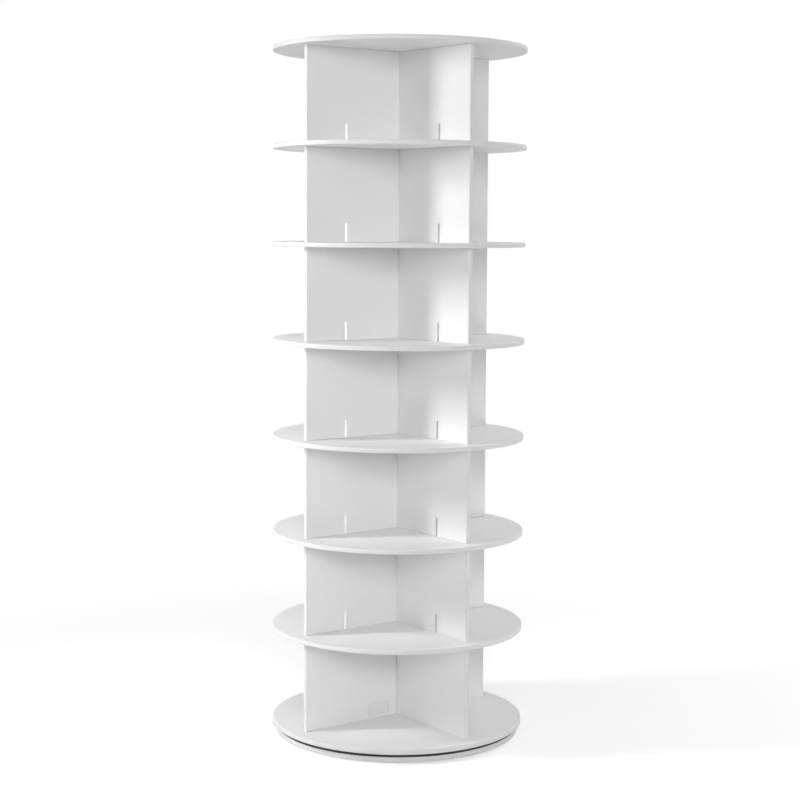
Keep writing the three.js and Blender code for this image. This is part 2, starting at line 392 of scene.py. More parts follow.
def noise(tree, coordinates, scale, detail=2.0, roughness=0.5):
    """A fractal noise, about one feature to 1/scale metres."""
    texture = tree.nodes.new("ShaderNodeTexNoise")
    texture.inputs["Scale"].default_value = scale
    texture.inputs["Detail"].default_value = detail
    texture.inputs["Roughness"].default_value = roughness
    tree.links.new(coordinates, texture.inputs["Vector"])
    return texture.outputs["Fac"]


def spread(tree, value, low, high):
    """The range in which most of a noise lies, spread from low to high."""
    node = tree.nodes.new("ShaderNodeMapRange")
    node.inputs["From Min"].default_value = NOISE_LOW
    node.inputs["From Max"].default_value = NOISE_HIGH
    node.inputs["To Min"].default_value = low
    node.inputs["To Max"].default_value = high
    tree.links.new(value, node.inputs["Value"])
    return node.outputs["Result"]


def tint(tree, value, colour, shade):
    """A colour that goes from shade times itself up to itself as the value rises."""
    node = tree.nodes.new("ShaderNodeMix")
    node.data_type = "RGBA"
    node.inputs["A"].default_value = (*(channel * shade for channel in colour), 1)
    node.inputs["B"].default_value = (*colour, 1)
    tree.links.new(value, node.inputs["Factor"])
    return node.outputs["Result"]


def bump(tree, height, distance):
    """A bump that stands that many metres high where the pattern is 1."""
    node = tree.nodes.new("ShaderNodeBump")
    node.inputs["Distance"].default_value = distance
    tree.links.new(height, node.inputs["Height"])
    return node.outputs["Normal"]


def follow(tree, shader, value, colour, shade, roughness, height):
    """Lets a finish's colour, roughness and relief follow one pattern. The roughness is given by its
    low and high end, and the height in metres."""
    tree.links.new(tint(tree, value, colour, shade), shader.inputs["Base Color"])
    tree.links.new(spread(tree, value, *roughness), shader.inputs["Roughness"])
    tree.links.new(bump(tree, value, height), shader.inputs["Normal"])


def stretched(tree, coordinates, scale):
    """The coordinates, scaled to that many features per metre along X, Y and Z, so that a noise on them
    draws out into streaks."""
    node = tree.nodes.new("ShaderNodeVectorMath")
    node.operation = "MULTIPLY"
    node.inputs[1].default_value = scale
    tree.links.new(coordinates, node.inputs[0])
    return node.outputs["Vector"]


def round_the_axis(tree, coordinates):
    """Distance from the Z axis and height, for marks that a lathe leaves."""
    split = tree.nodes.new("ShaderNodeSeparateXYZ")
    tree.links.new(coordinates, split.inputs["Vector"])
    level = tree.nodes.new("ShaderNodeVectorMath")
    level.operation = "MULTIPLY"
    level.inputs[1].default_value = (1, 1, 0)
    tree.links.new(coordinates, level.inputs[0])
    length = tree.nodes.new("ShaderNodeVectorMath")
    length.operation = "LENGTH"
    tree.links.new(level.outputs["Vector"], length.inputs[0])
    join = tree.nodes.new("ShaderNodeCombineXYZ")
    tree.links.new(length.outputs["Value"], join.inputs["X"])
    tree.links.new(split.outputs["Z"], join.inputs["Z"])
    return join.outputs["Vector"]


def white_laminate():
    """Satin white foil on a board's faces: a fine orange peel, and a sheen that wanders a little."""
    material, tree, shader, coordinates = new_material("white_laminate")
    colour = tint(tree, noise(tree, coordinates, scale=7, detail=3), colours().board, shade=0.985)
    tree.links.new(colour, shader.inputs["Base Color"])
    sheen = spread(tree, noise(tree, coordinates, scale=22, detail=4), low=0.47, high=0.54)
    tree.links.new(sheen, shader.inputs["Roughness"])
    peel = noise(tree, coordinates, scale=950)
    tree.links.new(bump(tree, peel, distance=0.00001), shader.inputs["Normal"])
    shader.inputs["IOR"].default_value = LAMINATE_IOR
    return material


def white_edge():
    """The band on a board's edges: a little greyer, with the faint marks of the saw along it."""
    material, tree, shader, coordinates = new_material("white_edge")
    marks = noise(tree, stretched(tree, coordinates, (60, 60, 1400)), scale=1, detail=3)
    follow(tree, shader, marks, colours().edge, shade=0.975, roughness=(0.44, 0.54), height=0.00001)
    shader.inputs["IOR"].default_value = LAMINATE_IOR
    return material


def slot_foil():
    """Glossy white foil in the main dividers' slots, with the faint waves of the board under it. Its
    colour is painted light, brighter than the edge band so that the slot walls look lit.
    """
    material, tree, shader, coordinates = new_material("slot_foil")
    waves = noise(tree, coordinates, scale=400)
    follow(tree, shader, waves, colours().slot_foil, shade=0.99, roughness=(0.3, 0.36), height=0.00001)
    shader.inputs["IOR"].default_value = FOIL_IOR
    return material


def bare_board():
    """The cross dividers' slots: matt, with fine fibres, and a grey that is painted shade, darker than
    the edge band so that the slot walls look shaded.
    """
    material, tree, shader, coordinates = new_material("bare_board")
    drawn_out = stretched(tree, coordinates, (900, 900, 300))
    fibres = noise(tree, drawn_out, scale=1, detail=4, roughness=0.6)
    colour = colours().bare_board
    follow(tree, shader, fibres, colour, shade=0.85, roughness=(0.7, 0.85), height=0.00002)
    return material


def grey_backing():
    """Painted shade for the discs' faces in the turntable gap: dark grey, matt, with short flat fibres
    in it.
    """
    material, tree, shader, coordinates = new_material("grey_backing")
    drawn_out = stretched(tree, coordinates, (300, 1100, 300))
    fibres = noise(tree, drawn_out, scale=1, detail=4, roughness=0.6)
    follow(tree, shader, fibres, colours().backing, shade=0.8, roughness=(0.7, 0.85), height=0.00002)
    return material


def badge_plastic():
    """Smooth moulded plastic with a faint grain."""
    material, tree, shader, coordinates = new_material("badge_plastic")
    grain = noise(tree, coordinates, scale=2400)
    follow(tree, shader, grain, colours().badge, shade=0.98, roughness=(0.24, 0.3), height=0.000004)
    return material


def badge_line():
    """Grey fill in the badge's border line: painted shade that stands in for shade at the badge's rim.
    """
    material, tree, shader, coordinates = new_material("badge_line")
    grain = noise(tree, coordinates, scale=3000)
    tree.links.new(tint(tree, grain, colours().badge_line, shade=0.9), shader.inputs["Base Color"])
    tree.links.new(spread(tree, grain, low=0.45, high=0.6), shader.inputs["Roughness"])
    return material


def turned_aluminium():
    """Bearing rings: metal with the fine circles that turning leaves."""
    material, tree, shader, coordinates = new_material("turned_aluminium")
    circles = noise(tree, round_the_axis(tree, coordinates), scale=2600, detail=3, roughness=0.7)
    colour = colours().aluminium
    follow(tree, shader, circles, colour, shade=0.85, roughness=(0.28, 0.42), height=0.000008)
    shader.inputs["Metallic"].default_value = 1
    return material


def zinc_steel():
    """Zinc-plated steel, a little cloudy."""
    material, tree, shader, coordinates = new_material("zinc_steel")
    clouds = noise(tree, coordinates, scale=700, detail=4, roughness=0.6)
    follow(tree, shader, clouds, colours().steel, shade=0.8, roughness=(0.2, 0.36), height=0.000006)
    shader.inputs["Metallic"].default_value = 1
    return material


def cage_nylon():
    """Natural nylon of the ball cage."""
    material, tree, shader, coordinates = new_material("cage_nylon")
    flow = noise(tree, stretched(tree, coordinates, (80, 80, 500)), scale=1, detail=3)
    follow(tree, shader, flow, colours().nylon, shade=0.94, roughness=(0.42, 0.55), height=0.00001)
    shader.inputs["Subsurface Weight"].default_value = 0.15
    shader.inputs["Subsurface Scale"].default_value = 0.002
    return material


def pad_rubber():
    """Dark rubber with a matt, pitted skin."""
    material, tree, shader, coordinates = new_material("pad_rubber")
    pits = noise(tree, coordinates, scale=1800, detail=4, roughness=0.65)
    follow(tree, shader, pits, colours().rubber, shade=0.7, roughness=(0.75, 0.92), height=0.00004)
    return material


FINISHES = {
    "white_laminate": white_laminate,
    "white_edge": white_edge,
    "slot_foil": slot_foil,
    "bare_board": bare_board,
    "grey_backing": grey_backing,
    "badge_plastic": badge_plastic,
    "badge_line": badge_line,
    "turned_aluminium": turned_aluminium,
    "zinc_steel": zinc_steel,
    "cage_nylon": cage_nylon,
    "pad_rubber": pad_rubber,
}


def finish(name):
    """The material of that name, made the first time that it is asked for."""
    return bpy.data.materials.get(name) or FINISHES[name]()


# Outlines and solids

FACE, EDGE, OTHER = 0, 1, 2  # a board's material places: faces, edges, and a third place: the discs' painted gap shade, the slots' painted light and shade
LEVEL = 0.99  # a face whose normal rises or falls at least this much is level


def even_round(radius, steps, middle=(0, 0), first=0.0, turn=math.tau):
    """Points evenly round an arc. A full turn leaves out the last point, which is the first again."""
    count = steps if turn == math.tau else steps + 1
    angles = [first + i * turn / steps for i in range(count)]
    return [(middle[0] + radius * math.cos(a), middle[1] + radius * math.sin(a)) for a in angles]


def round_cornered(width, height, corner, steps):
    """A rectangle about the origin with rounded corners, counter-clockwise from the lower right."""
    x, y = width / 2 - corner, height / 2 - corner
    points = []
    for turn, middle in enumerate([(x, -y), (x, y), (-x, y), (-x, -y)]):
        points += even_round(corner, steps, middle, (turn - 1) * math.pi / 2, math.pi / 2)
    return points


def drawn_in(outline, inset):
    """A counter-clockwise outline, drawn in by the same width all round."""
    result = []
    for i, point in enumerate(outline):
        here = Vector(point)
        before = (here - Vector(outline[i - 1])).normalized()
        after = (Vector(outline[(i + 1) % len(outline)]) - here).normalized()
        inward = Vector((-before.y - after.y, before.x + after.x))
        result.append(here + inward * inset / (1 + before.dot(after)))
    return result


def ring_of(bm, points, level):
    """New vertices at those points, all at one level."""
    return [bm.verts.new((x, y, level)) for x, y in points]


def join_rings(bm, rings, place=0):
    """Walls from each ring of points to the next, smooth-shaded."""
    for low, high in pairwise(rings):
        for i in range(len(low)):
            j = (i + 1) % len(low)
            wall = bm.faces.new((low[i], low[j], high[j], high[i]))
            wall.material_index = place
            wall.smooth = True


def rounded_board(outline, thickness, edge):
    """A board with that outline lying on z = 0, its long edges rounded."""
    bm = bmesh.new()
    turns = [math.pi / 2 * i / quality().edge_steps for i in range(quality().edge_steps + 1)]
    lower = [(edge * (1 - math.sin(a)), edge * (1 - math.cos(a))) for a in turns]
    upper = [(inset, thickness - level) for inset, level in reversed(lower)]
    rings = [ring_of(bm, drawn_in(outline, inset), level) for inset, level in lower + upper]
    join_rings(bm, rings, EDGE)
    for ring in (rings[0][::-1], rings[-1]):
        bm.faces.new(ring).material_index = FACE
    return bm


def turned(profile, steps, place=Matrix.Identity(4)):
    """A closed solid from a profile of (radius, height) points. It runs up the outside, and starts and
    ends on the axis, or else it ends where it starts."""
    bm = bmesh.new()
    open_ended = profile[0] != profile[-1]
    middle = [p for p in profile if p[0] > 0] if open_ended else profile[:-1]
    rings = [ring_of(bm, even_round(radius, steps), level) for radius, level in middle]
    join_rings(bm, rings if open_ended else [*rings, rings[0]])
    if open_ended:
        for ring, (_, level), order in ((rings[0], profile[0], -1), (rings[-1], profile[-1], 1)):
            tip = bm.verts.new((0, 0, level))
            for a, b in pairwise([*ring, ring[0]]):
                bm.faces.new((tip, a, b)[::order]).smooth = True
    bmesh.ops.transform(bm, matrix=place, verts=bm.verts)
    return bm


def into_mesh(name, bm):
    """The mesh of a bmesh, with its sharp edges marked."""
    bmesh.ops.recalc_face_normals(bm, faces=bm.faces)
    for line in bm.edges:
        line.smooth = line.calc_face_angle(0) < quality().crease
    mesh = bpy.data.meshes.new(name)
    bm.to_mesh(mesh)
    bm.free()
    return mesh


def cut_out(piece, cutters):
    """Cuts the cutters, given as bmeshes, out of a piece."""
    tool_mesh = bpy.data.meshes.new("cutters")
    joined = bmesh.new()
    for cutter in cutters:
        cutter.to_mesh(tool_mesh)
        joined.from_mesh(tool_mesh)
        cutter.free()
    tool = bpy.data.objects.new("cutters", into_mesh("cutters", joined))
    bpy.context.scene.collection.objects.link(tool)
    holes = piece.modifiers.new("holes", "BOOLEAN")
    holes.object = tool
    holes.solver = "EXACT"
    shaped = piece.evaluated_get(bpy.context.evaluated_depsgraph_get())
    blank = piece.data
    piece.modifiers.clear()
    piece.data = bpy.data.meshes.new_from_object(shaped)
    piece.data.name = blank.name
    bpy.data.meshes.remove(blank)
    bpy.data.objects.remove(tool)


def dress(name, node, bm, finishes, cutters=()):
    """The piece that stands for a CAD node: it rides on the node's body and takes its place."""
    piece = bpy.data.objects.new(name, into_mesh(name, bm))
    bpy.context.scene.collection.objects.link(piece)
    for finish_name in finishes:
        piece.data.materials.append(finish(finish_name))
    if cutters:
        cut_out(piece, cutters)
    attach(piece, frame["nodes"][node]["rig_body"])
    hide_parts(node)
    return piece


# Fasteners, as solids and as the holes for them


def screw_profile(node, grow=0.0, rise=0.0):
    """A countersunk screw's profile from its point at the bottom up to its head's face at z = 0."""
    low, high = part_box(node)
    head, length = (high.x - low.x) / 2, high.z - low.z
    shank, rim, cone = head / 2, head / 10, head * 0.63
    point = head * 0.6
    return [
        (0, -length - grow),
        (shank + grow, point - length),
        (shank + grow, -cone),
        (head + grow, -rim),
        (head + grow, rise),
        (0, rise),
    ]


def head_place(node, points_up):
    """Where a screw's head is, and which way it points."""
    low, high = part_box(node)
    middle = (low + high) / 2
    if points_up:
        return Matrix.Translation((middle.x, middle.y, low.z)) @ DOWNWARD
    return Matrix.Translation((middle.x, middle.y, high.z)) @ UPWARD


def screw_hole(node, points_up):
    """The hole for a screw, open past its head."""
    low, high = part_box(node)
    profile = screw_profile(node, sizes().clearance, high.z - low.z)
    return turned(profile, quality().small_steps, head_place(node, points_up))


def pin_hole(node):
    """The hole for a pin, open at both ends."""
    low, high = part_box(node)
    middle, radius = (low + high) / 2, (high.x - low.x) / 2 + sizes().clearance
    reach = (high.z - low.z) / 2 + sizes().clearance
    profile = [(0, -reach), (radius, -reach), (radius, reach), (0, reach)]
    return turned(profile, quality().small_steps, Matrix.Translation(middle))


def cross_recess(head, place):
    """The tapered cross that a driver fits, as a cutter at a screw's head."""
    reach, half_width, depth, taper = head * 0.62, head * 0.13, head * 0.42, 0.45
    arms = [(half_width, half_width), (half_width, reach), (-half_width, reach)]
    outline = []
    for quarter in range(4):
        c, s = round(math.cos(quarter * math.pi / 2)), round(math.sin(quarter * math.pi / 2))
        outline += [(c * x - s * y, s * x + c * y) for x, y in arms]
    bm = bmesh.new()
    rings = []
    for scale, level in ((taper, -depth), (1, 0), (1, depth)):
        rings.append(ring_of(bm, [(x * scale, y * scale) for x, y in outline], level))
    join_rings(bm, rings)
    for ring in (rings[0][::-1], rings[-1]):
        bm.faces.new(ring)
    bmesh.ops.transform(bm, matrix=place, verts=bm.verts)
    return bm


# Pieces


class SHOETOWER_OT_discs(bpy.types.Operator):
    """Make the base disc, the turning disc, the shelves and the top plate"""

    bl_idname = "shoe_tower.make_discs"
    bl_label = "Discs"

    def execute(self, context):
        for node in ("base_disc", "turning_disc", *SHELVES, "top_plate"):
            low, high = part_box(node)
            outline = even_round((high.x - low.x) / 2, quality().disc_steps)
            board = rounded_board(outline, high.z - low.z, sizes().disc_edge)
            bmesh.ops.translate(board, verts=board.verts, vec=(0, 0, low.z))
            self.back(board, GAP_SHADE_SIDES.get(node, 0))
            dress(f"{node}_board", node, board, DISC_FINISHES, self.holes(node))
        return {"FINISHED"}

    def back(self, board, side):
        """Painted shade on a board's upper face where side is 1, or its lower face where it is -1, in
        the
            turntable gap.
        """
        board.normal_update()
        for face in board.faces:
            if face.normal.z * side > LEVEL:
                face.material_index = OTHER

    def holes(self, node):
        """The cutters for one disc's holes."""
        if node == "base_disc":
            low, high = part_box(OUTER_SCREWS[0])
            place = Matrix.Translation(((low.x + high.x) / 2, (low.y + high.y) / 2, 0))
            # A driver reaches the outer ring's screws here, so the hole is wider than a screw's head.
            radius = 1.5 * (high.x - low.x) / 2
            access = [(0, -radius), (radius, -radius), (radius, low.z), (0, low.z)]
            pilots = [screw_hole(screw, False) for screw in INNER_SCREWS]
            return [*pilots, turned(access, quality().small_steps, place)]
        if node == "turning_disc":
            return [screw_hole(screw, True) for screw in (*OUTER_SCREWS, *BOTTOM_SCREWS)]
        if node == "top_plate":
            return [screw_hole(screw, False) for screw in TOP_SCREWS]
        return [pin_hole(f"{node}_pin_{wing}") for wing in WINGS]


class SHOETOWER_OT_dividers(bpy.types.Operator):
    """Make the two halved boards of each tier, with their slots"""

    bl_idname = "shoe_tower.make_dividers"
    bl_label = "Dividers"

    def execute(self, context):
        for tier in TIERS:
            for kind, turn in (("main", 0), ("cross", math.pi / 2)):
                node = f"{kind}_divider_{tier}"
                low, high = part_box(node)
                half_length, thickness = (high.x - low.x) / 2, high.y - low.y
                if kind == "cross":
                    half_length, thickness = (high.y - low.y) / 2, high.x - low.x
                outline = self.outline(half_length, high.z - low.z, thickness, tier > 1, kind == "main")
                board = rounded_board(outline, thickness, sizes().divider_edge)
                self.mark_slots(board)
                centred = Matrix.Translation((0, 0, -thickness / 2))
                upright = Matrix.Rotation(math.pi / 2, 4, "X") @ centred
                place = Matrix.Translation((0, 0, low.z)) @ Matrix.Rotation(turn, 4, "Z") @ upright
                bmesh.ops.transform(board, matrix=place, verts=board.verts)
                holes = self.holes(tier) if kind == "main" else ()
                dress(f"{node}_board", node, board, DIVIDER_FINISHES[kind], holes)
        return {"FINISHED"}

    def mark_slots(self, board):
        """The slots' walls get their own finish: painted light in the main dividers, painted shade in
        the
            cross ones. The board still lies with its foot at y = 0.
        """
        edge = sizes().divider_edge
        half_slot = sizes().slot_width / 2 + edge
        for wall in board.faces:
            middle = wall.calc_center_median()
            beside = abs(abs(middle.x) - sizes().slot_distance) < half_slot
            level_with = edge < middle.y < sizes().slot_height + edge
            if wall.material_index == EDGE and beside and level_with:
                wall.material_index = OTHER

    def outline(self, half_length, height, thickness, slotted, notch_at_top):
        """A divider's outline, from its middle at x = 0 and its foot at y = 0."""
        half_notch = thickness / 2 + sizes().clearance
        notch_end = (height + (-1 if notch_at_top else 1) * sizes().clearance) / 2
        points = [(-half_length, 0)]

        def step(left, right, end, edge):
            points.extend([(left, edge), (left, end), (right, end), (right, edge)])

        def slot(middle):
            half_slot = sizes().slot_width / 2
            step(middle - half_slot, middle + half_slot, sizes().slot_height, 0)

        if slotted:
            slot(-sizes().slot_distance)
        if not notch_at_top:
            step(-half_notch, half_notch, notch_end, 0)
        if slotted:
            slot(sizes().slot_distance)
        points.extend([(half_length, 0), (half_length, height)])
        if notch_at_top:
            step(half_notch, -half_notch, notch_end, height)
        points.append((-half_length, height))
        return points

    def holes(self, tier):
        """The cutters for the pins or screws that hold a main divider's foot and head."""
        foot = (
            [screw_hole(screw, True) for screw in BOTTOM_SCREWS]
            if tier == 1
            else [pin_hole(f"shelf_{tier - 1}_pin_{wing}") for wing in WINGS]
        )
        head = (
            [screw_hole(screw, False) for screw in TOP_SCREWS]
            if tier == len(TIERS)
            else [pin_hole(f"shelf_{tier}_pin_{wing}") for wing in WINGS]
        )
        return foot + head


class SHOETOWER_OT_badge(bpy.types.Operator):
    """Make the blank badge, with a border line sunk into its face"""

    bl_idname = "shoe_tower.make_badge"
    bl_label = "Badge"

    def execute(self, context):
        size = BADGE_HIGH - BADGE_LOW
        steps = quality().small_steps // 4
        outline = round_cornered(size.x, size.z, sizes().badge_corner, steps)
        bm = bmesh.new()
        half_line, depth = sizes().badge_line / 2, sizes().badge_line / 4
        edge, face = sizes().badge_edge, size.y
        margin = sizes().badge_margin
        profile = [
            (0, 0, 0),
            (0, face - edge, 0),
            (edge * (1 - math.sqrt(0.5)), face - edge * (1 - math.sqrt(0.5)), 0),
            (edge, face, 0),
            (margin - half_line, face, 0),
            (margin - half_line / 2, face - depth, 1),
            (margin + half_line / 2, face - depth, 1),
            (margin + half_line, face, 0),
        ]
        rings = [ring_of(bm, drawn_in(outline, inset), level) for inset, level, _ in profile]
        for (low, high), place in zip(pairwise(rings), [place for _, _, place in profile][1:]):
            join_rings(bm, [low, high], place)
        bm.faces.new(rings[0][::-1])
        bm.faces.new(rings[-1])
        middle = (BADGE_LOW + BADGE_HIGH) / 2
        stand = Matrix.Rotation(math.pi / 2, 4, "X")
        place = Matrix.Translation((middle.x, BADGE_HIGH.y, middle.z)) @ stand
        bmesh.ops.transform(bm, matrix=place, verts=bm.verts)
        dress("blank_badge_plate", "blank_badge", bm, ("badge_plastic", "badge_line"))
        return {"FINISHED"}


class SHOETOWER_OT_floor_pads(bpy.types.Operator):
    """Make the rubber pads, with round grooves in their soles"""

    bl_idname = "shoe_tower.make_floor_pads"
    bl_label = "Floor Pads"

    def execute(self, context):
        for node in FLOOR_PADS:
            low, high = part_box(node)
            radius, height, edge = (high.x - low.x) / 2, high.z - low.z, sizes().pad_edge
            groove = sizes().pad_groove
            profile = [(0, 0)]
            for share in PAD_GROOVES:
                start = radius * share
                profile += [(start, 0), (start + groove / 4, groove), (start + groove * 1.75, groove)]
                profile.append((start + 2 * groove, 0))
            for turn in range(quality().edge_steps + 1):
                angle = math.pi / 2 * turn / quality().edge_steps
                profile.append((radius - edge * (1 - math.sin(angle)), edge * (1 - math.cos(angle))))
            profile += [(radius, height), (0, height)]
            middle = Matrix.Translation(((low.x + high.x) / 2, (low.y + high.y) / 2, low.z))
            pad = turned(profile, 2 * quality().small_steps, middle)
            dress(f"{node}_rubber", node, pad, ("pad_rubber",))
        return {"FINISHED"}


class SHOETOWER_OT_turntable(bpy.types.Operator):
    """Make the two bearing rings, the ball cage and the balls"""

    bl_idname = "shoe_tower.make_turntable"
    bl_label = "Turntable"

    def execute(self, context):
        ball_low, ball_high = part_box(BALLS[0])
        ball_circle, ball_level = (ball_low.x + ball_high.x) / 2, (ball_low.z + ball_high.z) / 2
        self.make_ring("bearing_inner_ring", ball_circle - sizes().ring_gap / 2, -1, ball_level)
        self.make_ring("bearing_outer_ring", ball_circle + sizes().ring_gap / 2, 1, ball_level)
        self.make_cage(ball_circle, ball_level)
        for node in BALLS:
            low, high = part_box(node)
            radius, steps = (high.z - low.z) / 2, quality().small_steps
            turns = [math.tau * i / steps for i in range(1, steps // 2)]
            side = [(radius * math.sin(a), -radius * math.cos(a)) for a in turns]
            middle = Matrix.Translation((low + high) / 2)
            ball = turned([(0, -radius), *side, (0, radius)], steps, middle)
            dress(f"{node}_steel", node, ball, ("zinc_steel",))
        return {"FINISHED"}

    def make_ring(self, node, wall, away, ball_level):
        """One grooved ring. Its groove looks at the balls, and away is the side of its plain wall."""
        low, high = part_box(node)
        plain = wall + away * self.ring_width()
        lip, edge = sizes().ring_lip, sizes().ring_edge
        half_groove = min(high.z - ball_level, ball_level - low.z) - lip
        profile = [
            (plain, low.z + edge),
            (plain - away * edge, low.z),
            (wall, low.z),
            (wall, ball_level - half_groove),
            (wall + away * half_groove, ball_level),
            (wall, ball_level + half_groove),
            (wall, high.z),
            (plain - away * edge, high.z),
            (plain, high.z - edge),
            (plain, low.z + edge),
        ]
        screws, points_up = (INNER_SCREWS, False) if away < 0 else (OUTER_SCREWS, True)
        holes = [screw_hole(screw, points_up) for screw in screws]
        ring = turned(profile, quality().ring_steps)
        dress(f"{node}_turned", node, ring, ("turned_aluminium",), holes)

    def ring_width(self):
        """From a ring's grooved wall to its plain wall."""
        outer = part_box("bearing_outer_ring")[1].x
        ball_low, ball_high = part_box(BALLS[0])
        return outer - (ball_low.x + ball_high.x) / 2 - sizes().ring_gap / 2

    def make_cage(self, ball_circle, ball_level):
        """The upright band between the rings, with a pocket for each ball."""
        low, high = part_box("ball_cage")
        outer = (high.x - low.x) / 2
        inner = 2 * ball_circle - outer
        profile = [(inner, low.z), (outer, low.z), (outer, high.z), (inner, high.z), (inner, low.z)]
        pockets = []
        for node in BALLS:
            ball_low, ball_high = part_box(node)
            middle, radius = (ball_low + ball_high) / 2, (ball_high.z - ball_low.z) / 2
            pocket, reach = radius + sizes().clearance, 2 * radius
            turn = math.atan2(middle.y, middle.x)
            lie = Matrix.Rotation(turn, 4, "Z") @ Matrix.Rotation(math.pi / 2, 4, "Y")
            bore = [(0, -reach), (pocket, -reach), (pocket, reach), (0, reach)]
            pockets.append(turned(bore, quality().small_steps, Matrix.Translation(middle) @ lie))
        band = turned(profile, quality().ring_steps)
        dress("ball_cage_band", "ball_cage", band, ("cage_nylon",), pockets)


class SHOETOWER_OT_fasteners(bpy.types.Operator):
    """Make the cross-head screws and the pins"""

    bl_idname = "shoe_tower.make_fasteners"
    bl_label = "Screws and Pins"

    def execute(self, context):
        for nodes, points_up in SCREWS_AND_POINTS_UP:
            for node in nodes:
                low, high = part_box(node)
                place = head_place(node, points_up)
                screw = turned(screw_profile(node), quality().small_steps, place)
                recess = cross_recess((high.x - low.x) / 2, place)
                dress(f"{node}_steel", node, screw, ("zinc_steel",), [recess])
        for shelf in SHELVES:
            for wing in WINGS:
                node = f"{shelf}_pin_{wing}"
                low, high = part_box(node)
                radius = (high.x - low.x) / 2
                length, ease = high.z - low.z, radius / 4
                lower_half = [(0, 0), (radius - ease, 0), (radius, ease)]
                profile = lower_half + [(x, length - level) for x, level in reversed(lower_half)]
                foot = Matrix.Translation(((low.x + high.x) / 2, (low.y + high.y) / 2, low.z))
                pin = turned(profile, quality().small_steps, foot)
                dress(f"{node}_steel", node, pin, ("zinc_steel",))
        return {"FINISHED"}


# Stage


class Softbox(NamedTuple):
    """A rectangular lamp that faces the turning axis. Its lengths are in metres."""

    light: str  # the studio setting with its power
    azimuth: float  # degrees round from +X
    height: float
    distance: float  # from the axis
    width: float
    tall: float
    aim: float  # the height that it faces
    beam: float = 180  # degrees, narrower where a grid is on it


SOFTBOXES = {
    "key_softbox": Softbox("key", 156, height=1.265, distance=1.5, width=0.3, tall=0.42, aim=0.2),
    "key_grid_softbox": Softbox(
        "key_grid", 155, height=1.3, distance=1.75, width=0.34, tall=0.5, aim=0.2, beam=80
    ),
    "fill_softbox": Softbox("fill", 239, height=1.4, distance=3.3, width=1.1, tall=0.9, aim=0.6),
    "high_panel": Softbox("high", 240, height=2.6, distance=3.2, width=1.4, tall=1.4, aim=0.6),
    "steep_panel": Softbox("steep", 235, height=2.6, distance=2.0, width=1.0, tall=1.0, aim=0.6),
    "overhead_panel": Softbox("overhead", 0, height=3.3, distance=0, width=1.2, tall=1.2, aim=0.6),
    "side_panel": Softbox("side", 0, height=2.4, distance=2.4, width=1.4, tall=1.4, aim=0.6),
    "low_right_strip": Softbox(
        "low_right", 320, height=0.12, distance=1.5, width=1.6, tall=0.2, aim=0.4
    ),
    "low_left_strip": Softbox("low_left", 170, height=0.12, distance=1.5, width=1.6, tall=0.2, aim=0.4),
}


def seen_directly(tree):
    """1 on rays from the camera and in mirrors and glass, else 0."""
    path = tree.nodes.new("ShaderNodeLightPath")
    value = path.outputs["Is Camera Ray"]
    for name in ("Is Glossy Ray", "Is Transmission Ray"):
        larger = tree.nodes.new("ShaderNodeMath")
        larger.operation = "MAXIMUM"
        tree.links.new(value, larger.inputs[0])
        tree.links.new(path.outputs[name], larger.inputs[1])
        value = larger.outputs[0]
    return value


def times(tree, value, factor):
    """The value times a number or another value."""
    node = tree.nodes.new("ShaderNodeMath")
    node.operation = "MULTIPLY"
    tree.links.new(value, node.inputs[0])
    if isinstance(factor, bpy.types.NodeSocket):
        tree.links.new(factor, node.inputs[1])
    else:
        node.inputs[1].default_value = factor
    return node.outputs[0]


